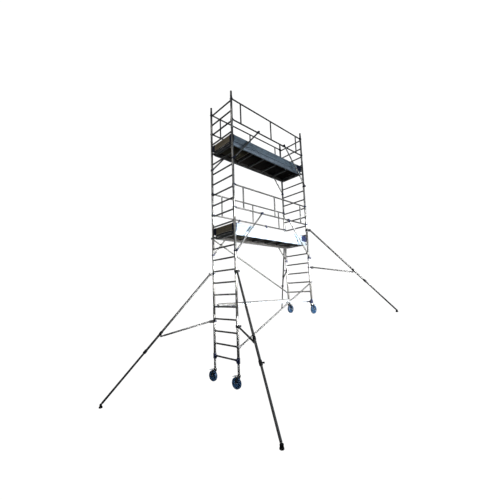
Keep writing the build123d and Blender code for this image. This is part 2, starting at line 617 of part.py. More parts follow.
# ---- Writing the parts ----
def write_tower():
    for name, (end, first, last, bottom) in FRAMES.items():
        save(end_frame(end, first, last, bottom), name)
    corners = [(end, side) for end in END_X for side in SIDE_Y]
    save(interlock_clips(), "interlock_clips")
    save([corner_casting(end, side) for end, side in corners], "corner_castings")
    decks = {"base": BASE_DECK_RUNG, "lower": LOWER_DECK_RUNG, "upper": UPPER_DECK_RUNG}
    for name, number in decks.items():
        save(deck_frame(number), f"{name}_deck_frame")
        save(deck_panel(number, hatch=name != "base"), f"{name}_deck_panel")
    save([deck_hook(e, s, n) for n in decks.values() for e, s in corners], "deck_hooks")
    working = {"lower": LOWER_DECK_RUNG, "upper": UPPER_DECK_RUNG}
    for name, number in working.items():
        save(hatch_panel(number), f"{name}_hatch")
        save(toe_boards(number), f"{name}_toe_boards")
        save(guardrail(number), f"{name}_guardrails")
    places = [(end, side, number) for number in working.values() for end, side in corners]
    save([toe_board_corner(*place) for place in places], "toe_board_corners")
    save([guardrail_claw(e, s, z) for e, s, n in places for z in rail_levels(n)], "guardrail_claws")
    save([guardrail_brace(*place) for place in places], "guardrail_braces")
    clamps = [make(*place) for place in places for make in (brace_foot_clamp, brace_head_clamp)]
    save(clamps, "brace_clamps")


def write_diagonals():
    save([long_diagonal(*diagonal) for diagonal in DIAGONALS], "long_diagonals")
    hooks = []
    for diagonal in DIAGONALS:
        start, end = diagonal_ends(*diagonal)
        hooks += [diagonal_claw(diagonal[0], start, end), diagonal_claw(diagonal[0], end, start)]
    save(hooks, "diagonal_hooks")


def write_castors():
    shapes = {"leg": castor_leg(), "fork": castor_fork(), "wheel": castor_wheel(), "pedal": brake_pedal()}
    for name, trail_azimuth in CASTORS.items():
        end, side = OUTRIGGERS[name][:2]
        place = Pos(END_X[end], SIDE_Y[side], GROUND[end]) * Rot(0, 0, trail_azimuth)
        for part, pieces in shapes.items():
            save([place * piece for piece in pieces], f"{name}_castor_{part}")


def write_outriggers():
    for name, (end, side, azimuth, reach, clamp_height, strut_height) in OUTRIGGERS.items():
        place = Pos(END_X[end], SIDE_Y[side], GROUND[end]) * Rot(0, 0, azimuth)
        shapes = {
            "tube": outrigger_tube(reach, clamp_height),
            "strut": outrigger_strut(reach, clamp_height, strut_height),
            "inner": outrigger_inner(reach, clamp_height),
            "foot": outrigger_foot(reach),
        }
        for part, pieces in shapes.items():
            save([place * piece for piece in pieces], f"{name}_outrigger_{part}")


write_tower()
write_diagonals()
write_castors()
write_outriggers()
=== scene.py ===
import json
from math import cos, pi, radians, sin, sqrt

import bpy
import numpy as np
from mathutils import Matrix, Vector


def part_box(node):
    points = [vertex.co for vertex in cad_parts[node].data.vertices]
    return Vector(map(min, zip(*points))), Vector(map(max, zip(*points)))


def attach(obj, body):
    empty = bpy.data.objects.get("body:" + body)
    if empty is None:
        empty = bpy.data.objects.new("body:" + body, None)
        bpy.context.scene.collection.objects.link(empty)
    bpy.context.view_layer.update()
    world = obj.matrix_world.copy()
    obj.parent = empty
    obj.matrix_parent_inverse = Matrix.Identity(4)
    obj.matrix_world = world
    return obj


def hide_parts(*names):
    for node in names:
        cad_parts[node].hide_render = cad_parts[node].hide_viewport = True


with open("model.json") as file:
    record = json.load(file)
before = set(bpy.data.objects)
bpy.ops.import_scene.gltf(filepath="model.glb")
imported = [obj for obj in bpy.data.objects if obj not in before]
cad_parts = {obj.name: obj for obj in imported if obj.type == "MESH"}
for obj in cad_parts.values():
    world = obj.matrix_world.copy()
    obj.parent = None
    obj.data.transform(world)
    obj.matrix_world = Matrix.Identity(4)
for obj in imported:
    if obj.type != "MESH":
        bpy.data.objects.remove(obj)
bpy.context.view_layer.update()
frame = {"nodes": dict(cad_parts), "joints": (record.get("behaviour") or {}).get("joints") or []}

# ---- Sizes repeated from the design, in metres ----
RUNG_PITCH = 0.25
STILE_R, STILE_BORE = 0.0255, 0.0235
RUNG_R, RUNG_BORE = 0.0175, 0.0157
SPIGOT_R, SPIGOT_BORE = 0.0232, 0.0207
SPIGOT_DEPTH, SPIGOT_RISE = 0.120, 0.095
CASTING_DOWN = 0.055
DECK_RISE, BEAM_DEPTH = 0.065, 0.095
FRAME_RUNGS = {
    "near_base_frame": (1, 4), "near_lower_frame": (5, 12), "near_upper_frame": (13, 20),
    "near_top_frame": (21, 23), "far_lower_frame": (5, 12), "far_upper_frame": (13, 20),
    "far_top_frame": (21, 23),
}
DECK_RUNGS = {"base": 5, "lower": 11, "upper": 19}
CORNERS = ("near_left", "near_right", "far_left", "far_right")
RIVET = 0.004

# ---- Places read from the frame ----
base_low, base_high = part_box("near_base_frame")
far_low, far_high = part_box("far_lower_frame")
END_X = {"near": (base_low.x + base_high.x) / 2, "far": (far_low.x + far_high.x) / 2}
SIDE_Y = {"right": base_low.y + STILE_R, "left": base_high.y - STILE_R}
FIRST_RUNG = base_low.z + CASTING_DOWN
UP = Vector((0, 0, 1))


def rung_z(number):
    return FIRST_RUNG + (number - 1) * RUNG_PITCH


def joint_of(name):
    return next(joint for joint in frame["joints"] if joint["name"] == name)


# ---- Materials ----
def graph(name):
    mat = bpy.data.materials.new(name)
    mat.use_nodes = True
    nodes, links = mat.node_tree.nodes, mat.node_tree.links
    return mat, nodes, links, nodes["Principled BSDF"]


def coordinates(nodes, links, direction, stretch):
    """Object coordinates turned so that direction is Z, then scaled by stretch."""
    place = nodes.new("ShaderNodeTexCoord")
    turn, scale = nodes.new("ShaderNodeMapping"), nodes.new("ShaderNodeMapping")
    turn.inputs["Rotation"].default_value = direction.rotation_difference(UP).to_euler()
    scale.inputs["Scale"].default_value = stretch
    links.new(place.outputs["Object"], turn.inputs["Vector"])
    links.new(turn.outputs["Vector"], scale.inputs["Vector"])
    return scale.outputs["Vector"]


def noise(nodes, links, vector, scale, detail=3.0):
    texture = nodes.new("ShaderNodeTexNoise")
    texture.inputs["Scale"].default_value = scale
    texture.inputs["Detail"].default_value = detail
    links.new(vector, texture.inputs["Vector"])
    return texture.outputs["Fac"]


def ramp(nodes, links, value, stops):
    """Colour ramp through (position, colour) stops."""
    node = nodes.new("ShaderNodeValToRGB")
    elements = node.color_ramp.elements
    while len(elements) < len(stops):
        elements.new(0.5)
    for element, (position, colour) in zip(elements, stops):
        element.position, element.color = position, (*colour, 1)
    links.new(value, node.inputs["Fac"])
    return node.outputs["Color"]


def spread(nodes, links, value, low, high, start=0.0):
    """Map a value that runs from start to 1 onto low to high."""
    node = nodes.new("ShaderNodeMapRange")
    node.inputs["From Min"].default_value = start
    node.inputs["To Min"].default_value, node.inputs["To Max"].default_value = low, high
    links.new(value, node.inputs["Value"])
    return node.outputs["Result"]


def bump(nodes, links, shader, height, strength, distance):
    node = nodes.new("ShaderNodeBump")
    node.inputs["Strength"].default_value = strength
    node.inputs["Distance"].default_value = distance
    links.new(height, node.inputs["Height"])
    links.new(node.outputs["Normal"], shader.inputs["Normal"])


def shade(colour, factor):
    return tuple(min(1.0, c * factor) for c in colour)


def extruded_metal(name, direction, colour, roughness, metallic=1.0):
    """Mill-finish extrusion: lines along the length, cloudy oxide and darker handling marks."""
    mat, nodes, links, shader = graph(name)
    lines = noise(nodes, links, coordinates(nodes, links, direction, (240, 240, 1.5)), 1.0, 2.0)
    clouds = noise(nodes, links, coordinates(nodes, links, UP, (1, 1, 1)), 9.0, 5.0)
    marks = noise(nodes, links, coordinates(nodes, links, UP, (1, 1, 1)), 60.0, 6.0)
    blend = nodes.new("ShaderNodeMix")
    blend.data_type, blend.blend_type = "RGBA", "MULTIPLY"
    blend.inputs["Factor"].default_value = 0.4
    base = ramp(nodes, links, clouds, [(0.3, shade(colour, 0.72)), (0.5, colour), (0.72, shade(colour, 1.2))])
    dirt = ramp(nodes, links, marks, [(0.28, (0.45, 0.43, 0.4)), (0.45, (1, 1, 1)), (1.0, (1, 1, 1))])
    links.new(base, blend.inputs[6])
    links.new(dirt, blend.inputs[7])
    links.new(blend.outputs[2], shader.inputs["Base Color"])
    links.new(spread(nodes, links, lines, roughness - 0.08, roughness + 0.12), shader.inputs["Roughness"])
    bump(nodes, links, shader, lines, 0.08, 0.0003)
    shader.inputs["Metallic"].default_value = metallic
    return mat


def moulded(name, colour, roughness, grain=900.0, coat=0.0):
    """Moulded plastic or rubber: fine grain, faint blotches and dust in the tone."""
    mat, nodes, links, shader = graph(name)
    plain = coordinates(nodes, links, UP, (1, 1, 1))
    blotch = noise(nodes, links, plain, 26.0, 5.0)
    skin = noise(nodes, links, plain, grain, 2.0)
    stops = [(0.25, shade(colour, 0.65)), (0.55, colour), (0.85, shade(colour, 1.7))]
    links.new(ramp(nodes, links, blotch, stops), shader.inputs["Base Color"])
    links.new(spread(nodes, links, blotch, roughness - 0.1, roughness + 0.12), shader.inputs["Roughness"])
    bump(nodes, links, shader, skin, 0.3, 0.0004)
    shader.inputs["Coat Weight"].default_value = coat
    return mat


def coated_steel(name, colour, roughness, metallic):
    """Zinc or powder coat with an orange-peel skin and scuffed patches."""
    mat, nodes, links, shader = graph(name)
    plain = coordinates(nodes, links, UP, (1, 1, 1))
    scuff = noise(nodes, links, plain, 75.0, 7.0)
    peel = noise(nodes, links, plain, 420.0, 2.0)
    stops = [(0.3, shade(colour, 0.7)), (0.55, colour)]
    stops += [(0.68, shade(colour, 1.15)), (0.8, shade(colour, 1.9))]
    links.new(ramp(nodes, links, scuff, stops), shader.inputs["Base Color"])
    links.new(spread(nodes, links, scuff, roughness - 0.08, roughness + 0.2), shader.inputs["Roughness"])
    bump(nodes, links, shader, peel, 0.2, 0.0003)
    shader.inputs["Metallic"].default_value = metallic
    return mat


def board_wood(name, direction, colour, roughness, grip=False):
    """Film-faced or sealed board: stretched grain, and a pressed mesh pattern where grip is set."""
    mat, nodes, links, shader = graph(name)
    grain = noise(nodes, links, coordinates(nodes, links, direction, (22, 22, 1.1)), 3.0, 8.0)
    wear = noise(nodes, links, coordinates(nodes, links, UP, (1, 1, 1)), 7.0, 6.0)
    stops = [(0.3, shade(colour, 0.55)), (0.48, colour)]
    stops += [(0.62, shade(colour, 1.25)), (0.75, shade(colour, 1.6))]
    blend = nodes.new("ShaderNodeMix")
    blend.data_type, blend.blend_type = "RGBA", "MULTIPLY"
    blend.inputs["Factor"].default_value = 0.6
    links.new(ramp(nodes, links, grain, stops), blend.inputs[6])
    worn = [(0.35, (0.6, 0.58, 0.55)), (0.55, (1, 1, 1)), (0.8, (1.0, 0.97, 0.9))]
    links.new(ramp(nodes, links, wear, worn), blend.inputs[7])
    links.new(blend.outputs[2], shader.inputs["Base Color"])
    links.new(spread(nodes, links, wear, roughness - 0.1, roughness + 0.15), shader.inputs["Roughness"])
    height = grain
    if grip:
        cells = nodes.new("ShaderNodeTexVoronoi")
        cells.inputs["Scale"].default_value = 110.0
        links.new(coordinates(nodes, links, UP, (1, 1, 0)), cells.inputs["Vector"])
        height = cells.outputs["Distance"]
    bump(nodes, links, shader, height, 0.45 if grip else 0.2, 0.001)
    return mat


ALUMINIUM = (0.37, 0.365, 0.35)
# Painted shade: a darker, rougher copy of the tube aluminium for the upper rails, long diagonals and
# outrigger tubes.
SHADE_DARK_ALUMINIUM = ((0.20, 0.20, 0.195), 0.5)
metals = {}


def tube_metal(direction, colour=ALUMINIUM, roughness=0.34):
    """Extruded aluminium whose lines run along a tube's direction, shared by parallel tubes."""
    if direction.z < 0 or (abs(direction.z) < 1e-4 and direction.x + direction.y < 0):
        direction = -direction
    key = (*(round(c, 2) for c in direction), *colour)
    if key not in metals:
        metals[key] = extruded_metal(f"aluminium_{len(metals)}", direction, colour, roughness)
    return metals[key]


LENGTHWAYS, ACROSS = Vector((1, 0, 0)), Vector((0, 1, 0))
NAVY = moulded("navy_moulding", (0.010, 0.016, 0.055), 0.42)
BLACK = moulded("black_moulding", (0.014, 0.014, 0.016), 0.5)
RUBBER = moulded("black_rubber", (0.012, 0.012, 0.012), 0.75, grain=500.0)
TYRE = moulded("navy_tyre", (0.028, 0.072, 0.150), 0.5, grain=600.0)
HUB = moulded("blue_hub", (0.034, 0.090, 0.185), 0.38, coat=0.2)
ZINC = coated_steel("zinc_steel", (0.42, 0.42, 0.43), 0.38, 1.0)
DARK_STEEL = coated_steel("dark_steel", (0.035, 0.042, 0.055), 0.42, 0.6)
PEDAL_STEEL = coated_steel("pedal_steel", (0.34, 0.38, 0.42), 0.4, 0.3)
WELD = coated_steel("weld_metal", (0.33, 0.33, 0.33), 0.5, 1.0)
DECK_PLY = board_wood("deck_plywood", LENGTHWAYS, (0.024, 0.019, 0.015), 0.6, grip=True)
# Base deck plywood: its light grey is partly the deck's own tone, partly painted light for the strong light
# on the low deck.
BRIGHTENED_BASE_PLY = board_wood("brightened_base_deck_plywood", LENGTHWAYS, (0.46, 0.45, 0.42), 0.6, grip=True)
HATCH_PLY = board_wood("hatch_plywood", ACROSS, (0.17, 0.15, 0.095), 0.55, grip=True)
# Side toe boards: their blue-grey tint is painted sky reflection.
SKY_TINTED_SIDE_BOARD = board_wood("sky_tinted_side_toe_board", LENGTHWAYS, (0.31, 0.41, 0.50), 0.5)
END_BOARD = board_wood("end_toe_board", ACROSS, (0.30, 0.25, 0.165), 0.55)
# Side beams, their lips and the side board channels: the blue-grey tint is painted sky reflection.
SKY_TINTED_BEAM_METAL = extruded_metal("beam_aluminium", LENGTHWAYS, (0.44, 0.53, 0.62), 0.4, 0.4)
EDGE_METAL = extruded_metal("edge_aluminium", ACROSS, (0.78, 0.74, 0.64), 0.4, 0.3)
# Dark metal for the inward faces of the side beams: painted shade.
PAINTED_SHADE_METAL = extruded_metal("painted_shade_inner_beam", LENGTHWAYS, (0.075, 0.072, 0.068), 0.55, 0.3)
CROSS_METAL = extruded_metal("cross_aluminium", ACROSS, (0.42, 0.43, 0.44), 0.45, 0.3)
# Base deck frame: its light grey is partly the deck's own alloy, partly painted light that lifts its shaded
# faces.
BRIGHTENED_BASE_METAL = extruded_metal("brightened_base_deck_aluminium", LENGTHWAYS, (0.72, 0.73, 0.75), 0.45, 0.3)


# ---- Mesh building ----
# Turned outlines stop this far from their axis.
AXIS_GAP = 0.0002


class Shape:
    """Collects vertices and faces with a material for each face."""

    def __init__(self):
        self.verts, self.faces, self.marks, self.smooth, self.mats = [], [], [], [], []

    def add(self, verts, faces, mat, smooth=True):
        if mat not in self.mats:
            self.mats.append(mat)
        start, mark = len(self.verts), self.mats.index(mat)
        self.verts += [Vector(v) for v in verts]
        for face in faces:
            self.faces.append([start + i for i in face])
            self.marks.append(mark)
            self.smooth.append(smooth)

    def piece(self, name, body, slot, replaces=()):
        mesh = bpy.data.meshes.new(name)
        mesh.from_pydata(self.verts, [], self.faces)
        for mat in self.mats:
            mesh.materials.append(mat)
        mesh.polygons.foreach_set("material_index", self.marks)
        mesh.polygons.foreach_set("use_smooth", self.smooth)
        mesh.update()
        obj = bpy.data.objects.new(name, mesh)
        bpy.context.scene.collection.objects.link(obj)
        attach(obj, body)
        if replaces:
            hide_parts(*replaces)


def basis(axis, hint=None):
    """Two unit vectors square to an axis."""
    axis = axis.normalized()
    hint = hint or (UP if abs(axis.z) < 0.9 else LENGTHWAYS)
    side = hint.cross(axis).normalized()
    return side, axis.cross(side)


def ring_points(centre, side, other, profile):
    return [centre + side * p[0] + other * p[1] for p in profile]


def bridge(shape, rings, mat, smooth=True, closed=False):
    """Skin between rings of equal length; closed joins the last ring to the first."""
    count = len(rings[0])
    verts = [v for ring in rings for v in ring]
    faces = []
    spans = len(rings) if closed else len(rings) - 1
    for i in range(spans):
        a, b = i * count, ((i + 1) % len(rings)) * count
        faces += [(a + j, a + (j + 1) % count, b + (j + 1) % count, b + j) for j in range(count)]
    shape.add(verts, faces, mat, smooth)


def circle(radius, count=32, lobes=0, depth=0.0):
    """Points round a circle, with a number of lobes or ridges of a given depth."""
    points = []
    for i in range(count):
        angle = 2 * pi * i / count
        r = radius + (depth * cos(lobes * angle) if lobes else 0.0)
        points.append((r * cos(angle), r * sin(angle)))
    return points


def hollow(shape, start, end, outer, inner, mat):
    """Hollow tube with lipped ends: outer and inner are closed profiles of equal length."""
    start, end = Vector(start), Vector(end)
    side, other = basis(end - start)
    lip = (end - start).normalized() * 0.0006
    shrink = [(x * 0.985, y * 0.985) for x, y in outer]
    rings = [
        ring_points(start, side, other, inner), ring_points(start, side, other, shrink),
        ring_points(start + lip, side, other, outer), ring_points(end - lip, side, other, outer),
        ring_points(end, side, other, shrink), ring_points(end, side, other, inner),
    ]
    bridge(shape, rings, mat, closed=True)


def lathe(shape, origin, axis, profile, mat, count=48, closed=False):
    """Turn (distance along the axis, radius) points round the axis."""
    side, other = basis(axis)
    axis = axis.normalized()
    rings = []
    for along, radius in profile:
        centre = origin + axis * along
        rings.append(ring_points(centre, side, other, circle(radius, count)))
    bridge(shape, rings, mat, closed=closed)


def disc_profile(height, radius, edge):
    """Closed turned outline of a disc with rounded rims."""
    return [(0, AXIS_GAP), (0, radius - edge), (edge * 0.3, radius - edge * 0.3), (edge, radius),
            (height - edge, radius), (height - edge * 0.3, radius - edge * 0.3),
            (height, radius - edge), (height, AXIS_GAP)]


def prism(shape, start, end, profile, mat, hint=None, edge=0.0008):
    """Solid bar with a closed profile and slightly rounded end rims."""
    start, end = Vector(start), Vector(end)
    side, other = basis(end - start, hint)
    step = (end - start).normalized() * edge
    size = max(abs(c) for p in profile for c in p)
    shrink = [(x * (1 - edge / size), y * (1 - edge / size)) for x, y in profile]
    rings = [
        ring_points(start, side, other, shrink), ring_points(start + step, side, other, profile),
        ring_points(end - step, side, other, profile), ring_points(end, side, other, shrink),
    ]
    bridge(shape, rings, mat, smooth=False)
    count = len(profile)
    shape.add(rings[0], [tuple(reversed(range(count)))], mat, False)
    shape.add(rings[-1], [tuple(range(count))], mat, False)


def rounded_box(half_x, half_y, radius, steps=4):
    """Rectangle profile with rounded corners."""
    points = []
    for quarter, (sx, sy) in enumerate(((1, 1), (-1, 1), (-1, -1), (1, -1))):
        for i in range(steps + 1):
            angle = pi / 2 * (quarter + i / steps)
            middle_x, middle_y = sx * (half_x - radius), sy * (half_y - radius)
            points.append((middle_x + radius * cos(angle), middle_y + radius * sin(angle)))
    return points


def bar(shape, low, high, mat, radius=0.002):
    """Box between two corners with rounded long edges, running along its longest side."""
    low, high = Vector(low), Vector(high)
    size, centre = high - low, (low + high) / 2
    along = max(range(3), key=lambda i: size[i])
    axis = Vector([float(i == along) for i in range(3)])
    side, other = basis(axis)
    across = (abs(side.dot(size)) / 2, abs(other.dot(size)) / 2)
    radius = min(radius, 0.45 * min(across))
    start, end = centre - axis * size[along] / 2, centre + axis * size[along] / 2
    prism(shape, start, end, rounded_box(*across, radius), mat)


def hex_bolt(shape, at, axis, size):
    """Hexagon head of a corner radius on a washer, standing on a surface, with a thread end."""
    axis = axis.normalized()
    base = at + axis * size * 0.22
    tip = base + axis * size * 0.75
    lathe(shape, at, axis, disc_profile(size * 0.22, size * 1.15, size * 0.08), ZINC, 24)
    prism(shape, base, tip, circle(size, 6), ZINC, edge=size * 0.12)
    lathe(shape, tip, axis, disc_profile(size * 0.35, size * 0.5, size * 0.1), ZINC, 16)


def rivet(shape, at, axis, radius, mat):
    """Domed rivet head."""
    dome = ((0, 1), (0.35, 0.92), (0.65, 0.6))
    profile = [(radius * along, radius * share) for along, share in dome]
    lathe(shape, at, axis, profile + [(radius * 0.75, AXIS_GAP)], mat, 16)


def saddle_bead(shape, centre, axis, branch, axis_r, branch_r, mat, thick=0.0024):
    """Weld bead where a branch tube meets the side of another tube."""
    branch, axis = branch.normalized(), axis.normalized()
    third = axis.cross(branch)
    around, ring = 56, 8
    rings = []
    for i in range(around):
        angle = 2 * pi * i / around
        a, b = branch_r * cos(angle), branch_r * sin(angle)
        reach = sqrt(max(axis_r**2 - b**2, 0.0))
        point = centre + axis * a + third * b + branch * reach
        outward = (axis * cos(angle) + third * sin(angle) + branch * 0.6).normalized()
        along = branch.cross(outward).normalized()
        other = along.cross(outward).normalized()
        swell = thick * (1 + 0.16 * cos(14 * angle))
        rings.append([point + outward * swell * cos(t) + other * swell * sin(t)
                      for t in (2 * pi * k / ring for k in range(ring))])
    bridge(shape, rings, mat, closed=True)


# ---- End frames: ridged rungs, stiles, spigots and welds ----
def end_frame(name):
    """Hollow stiles with riveted spigots, ridged rungs between them and weld beads at both ends."""
    first, last = FRAME_RUNGS[name]
    low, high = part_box(name)
    x = END_X["near" if name.startswith("near") else "far"]
    top = high.z - SPIGOT_RISE
    shape = Shape()
    stile, rung_metal = tube_metal(UP), tube_metal(ACROSS)
    ys = (SIDE_Y["right"], SIDE_Y["left"])
    for y in ys:
        hollow(shape, (x, y, low.z), (x, y, top), circle(STILE_R, 40), circle(STILE_BORE, 40), stile)
        hollow(shape, (x, y, top - SPIGOT_DEPTH), (x, y, top + SPIGOT_RISE),
               circle(SPIGOT_R, 40), circle(SPIGOT_BORE, 40), stile)
        for turn in (-1, 1):
            at = Vector((x, y + turn * (STILE_R - 0.0006), top - 0.05))
            rivet(shape, at, ACROSS * turn, RIVET, ZINC)
    ridged, bore = circle(RUNG_R - 0.0005, 96, 24, 0.0006), circle(RUNG_BORE, 96)
    for number in range(first, last + 1):
        z = rung_z(number)
        inset = STILE_R - 0.0035
        hollow(shape, (x, ys[0] + inset, z), (x, ys[1] - inset, z), ridged, bore, rung_metal)
        for y, way in ((ys[0], 1), (ys[1], -1)):
            centre = Vector((x, y, z))
            saddle_bead(shape, centre, UP, ACROSS * way, STILE_R, RUNG_R, WELD)
    shape.piece(f"{name}_welded", "tower", "tube_aluminium", [name])


for frame_name in FRAME_RUNGS:
    end_frame(frame_name)


# ---- CAD nodes that keep their shape ----
def islands(obj):
    """Polygon indices and points of each solid: faces joined over edges that two faces share."""
    mesh = obj.data
    co = np.zeros(len(mesh.vertices) * 3)
    mesh.vertices.foreach_get("co", co)
    co = co.reshape(-1, 3)
    _, merged = np.unique(np.round(co, 5), axis=0, return_inverse=True)
    merged = merged.reshape(-1)
    loops = np.zeros(len(mesh.loops), int)
    mesh.loops.foreach_get("vertex_index", loops)
    loops, sharing = merged[loops], {}
    for polygon in mesh.polygons:
        corners = loops[list(polygon.loop_indices)]
        for a, b in zip(corners, np.roll(corners, -1)):
            sharing.setdefault((min(a, b), max(a, b)), []).append(polygon.index)
    pairs = np.array([faces for faces in sharing.values() if len(faces) == 2]).T
    label = np.arange(len(mesh.polygons))
    while True:
        before = label.copy()
        least = np.minimum(label[pairs[0]], label[pairs[1]])
        np.minimum.at(label, pairs[0], least)
        np.minimum.at(label, pairs[1], least)
        label = label[label]
        if (label == before).all():
            break
    result = []
    for island in np.unique(label):
        polygons = np.flatnonzero(label == island)
        corners = [v for i in polygons for v in mesh.polygons[i].vertices]
        result.append((polygons.tolist(), co[sorted(set(corners))]))
    return result


def principal(points):
    """Main direction of a cloud of points, and how much longer it is than it is thick."""
    centred = points - points.mean(0)
    _, sizes, axes = np.linalg.svd(centred, full_matrices=False)
    return Vector(axes[0]).normalized(), sizes[0] / max(sizes[1], 1e-9)


def dress(node, choose, bevel=0.0):
    """Give each solid of a CAD node its material, smooth its round faces and round its edges."""
    obj, sharp = frame["nodes"][node], radians(35.0)
    obj.data.materials.clear()
    mats = []
    for polygons, points in islands(obj):
        mat = choose(points)
        if mat not in mats:
            mats.append(mat)
            obj.data.materials.append(mat)
        for index in polygons:
            obj.data.polygons[index].material_index = mats.index(mat)
            obj.data.polygons[index].use_smooth = True
    weld = obj.modifiers.new("weld", "WELD")
    weld.merge_threshold = 0.00002
    if bevel:
        rounded = obj.modifiers.new("rounded", "BEVEL")
        rounded.width, rounded.segments = bevel, 2
        rounded.limit_method, rounded.angle_limit = "ANGLE", sharp
        rounded.harden_normals = True
    split = obj.modifiers.new("edges", "EDGE_SPLIT")
    split.split_angle = sharp


def tube_or(other, *finish):
    """Long solids are aluminium tubes, in the darker painted-shade tone where one is given; short ones take
    the other material.
    """
    def choose(points):
        direction, ratio = principal(points)
        return tube_metal(direction, *finish) if ratio > 4 else other
    return choose


def only(mat):
    return lambda points: mat


for node_name in ("lower_guardrails", "guardrail_braces"):
    dress(node_name, tube_or(BLACK))
# Upper rails and long diagonals take the darker aluminium, its tone painted shade.
for node_name in ("upper_guardrails", "long_diagonals"):
    dress(node_name, tube_or(BLACK, *SHADE_DARK_ALUMINIUM))
for node_name in ("guardrail_claws", "brace_clamps", "corner_castings", "deck_hooks", "toe_board_corners"):
    dress(node_name, only(NAVY), bevel=0.0015)
for node_name in ("diagonal_hooks", "interlock_clips"):
    dress(node_name, only(ZINC), bevel=0.0008)


# Side beams take the blue-grey beam metal, its tint painted sky reflection.
def beam_or_cross(points):
    size = points.max(0) - points.min(0)
    return SKY_TINTED_BEAM_METAL if size[0] > 1 else CROSS_METAL


# Long side boards take the blue-grey board, its tint painted sky reflection; end boards take the brown one.
def board_choice(points):
    size = points.max(0) - points.min(0)
    return SKY_TINTED_SIDE_BOARD if size[0] > 1 else END_BOARD


def paint_inner_shade(node):
    """Painted shade: dark metal on the faces of the side beams that look into the deck."""
    mesh = frame["nodes"][node].data
    middle_y = (SIDE_Y["right"] + SIDE_Y["left"]) / 2
    mesh.materials.append(PAINTED_SHADE_METAL)
    for polygon in mesh.polygons:
        inwards = polygon.normal.y * (middle_y - polygon.center.y)
        if inwards > 0.9 * abs(middle_y - polygon.center.y) > 0.2:
            polygon.material_index = len(mesh.materials) - 1


for deck in DECK_RUNGS:
    # The base deck takes its lighter materials, partly painted light.
    dress(f"{deck}_deck_frame", only(BRIGHTENED_BASE_METAL) if deck == "base" else beam_or_cross, bevel=0.0015)
    dress(f"{deck}_deck_panel", only(BRIGHTENED_BASE_PLY if deck == "base" else DECK_PLY), bevel=0.001)
for deck in ("lower", "upper"):
    # Paints shade on the inward faces of the side beams.
    paint_inner_shade(f"{deck}_deck_frame")
    dress(f"{deck}_hatch", lambda points: ZINC if np.ptp(points[:, 0]) < 0.2 else HATCH_PLY, bevel=0.001)
    dress(f"{deck}_toe_boards", board_choice, bevel=0.002)
for corner in CORNERS:
    # Outrigger tubes take the darker aluminium, its tone painted shade.
    for part in ("tube", "strut"):
        dress(f"{corner}_outrigger_{part}", tube_or(BLACK, *SHADE_DARK_ALUMINIUM), bevel=0.0012)
    dress(f"{corner}_outrigger_inner", tube_or(BLACK, *SHADE_DARK_ALUMINIUM))
    dress(f"{corner}_outrigger_foot", only(RUBBER), bevel=0.002)
    dress(f"{corner}_castor_leg", only(tube_metal(UP)))
    dress(f"{corner}_castor_fork", only(DARK_STEEL), bevel=0.0012)
    dress(f"{corner}_castor_wheel", only(TYRE))
    dress(f"{corner}_castor_pedal", only(PEDAL_STEEL), bevel=0.001)


# ---- Detail pieces ----
WHEEL_R, WHEEL_HALF, RIM_R, BOSS_R = 0.110, 0.024, 0.0845, 0.022
AXLE_R, FORK_OUT = 0.008, 0.034
SPOKES, SPOKE_AT, SPOKE_SPAN = 8, 0.0155, (0.020, 0.080)
PEDAL_FALL, PEDAL_RIBS, PEDAL_RIB_HALF = 14.0 / 92.0, 6, 0.030
LEG_HOLES, HOLE_PITCH, HOLE_OUT = 4, 0.045, 0.0219
CLAMP_R, ARM_REACH, CHEEK = 0.036, 0.080, 0.006
LEG_R, STRUT_R, RAIL_R = 0.021, 0.017, 0.017
COLLAR_SHARE, LOCK_SHARE, LOCK_BACK, COLLAR_OUT = 0.52, 0.67, 0.030, 0.0269
EYE_DROP, PIVOT_HEIGHT, EAR_GAP, EAR_OUT = 0.064, 0.050, 0.0125, 0.0195
CLAW_R, SIDE_OFFSET = 0.033, 0.061
RAIL_RISE, POST_X = 0.038, (0.270, 1.280, 2.300)
BRACE_BELOW, BRACE_REACH = 0.380, 0.800
BASE_DEPTH, BEAM_END, BEAM_SIDE = 0.060, 0.035, 0.050
BOARD_HIGH, BOARD_THICK, BOARD_END, BOARD_SIDE, BOARD_CORNER = 0.150, 0.022, 0.012, 0.032, 0.068
HATCH_X, HATCH_Y, HATCH_EDGE = (0.135, 0.685), (0.120, 0.635), 0.026
CASTING_R, CASTING_BOLTS = 0.0335, (-0.035, 0.032)
SMALL_BOLT, BOLT, LARGE_BOLT, AXLE_BOLT = 0.0045, 0.0060, 0.0075, 0.0125
CLAMP_KNOB, CLAMP_KNOB_OUT = (0.0225, 0.0160), 0.0570
LOCK_KNOB, LOCK_KNOB_OUT = (0.0150, 0.0100), 0.0480
BRACE_KNOB = (0.0140, 0.0140)
BRACKET_LONG, BRACKET_THICK, BRACKET_IN, BRACKET_RIBS, RIB_PITCH = 0.200, 0.006, 0.0268, 5, 0.042
DIAGONALS = (("right", 2, 7), ("left", 11, 6))
STRUT_BELOW = {"near_left": 1.000, "near_right": 1.068, "far_left": 1.020, "far_right": 1.006}
OUT = {"right": -ACROSS, "left": ACROSS}


def joint_line(name):
    joint = joint_of(name)
    return Vector(joint["pos_m"]), Vector(joint["axis"]).normalized()


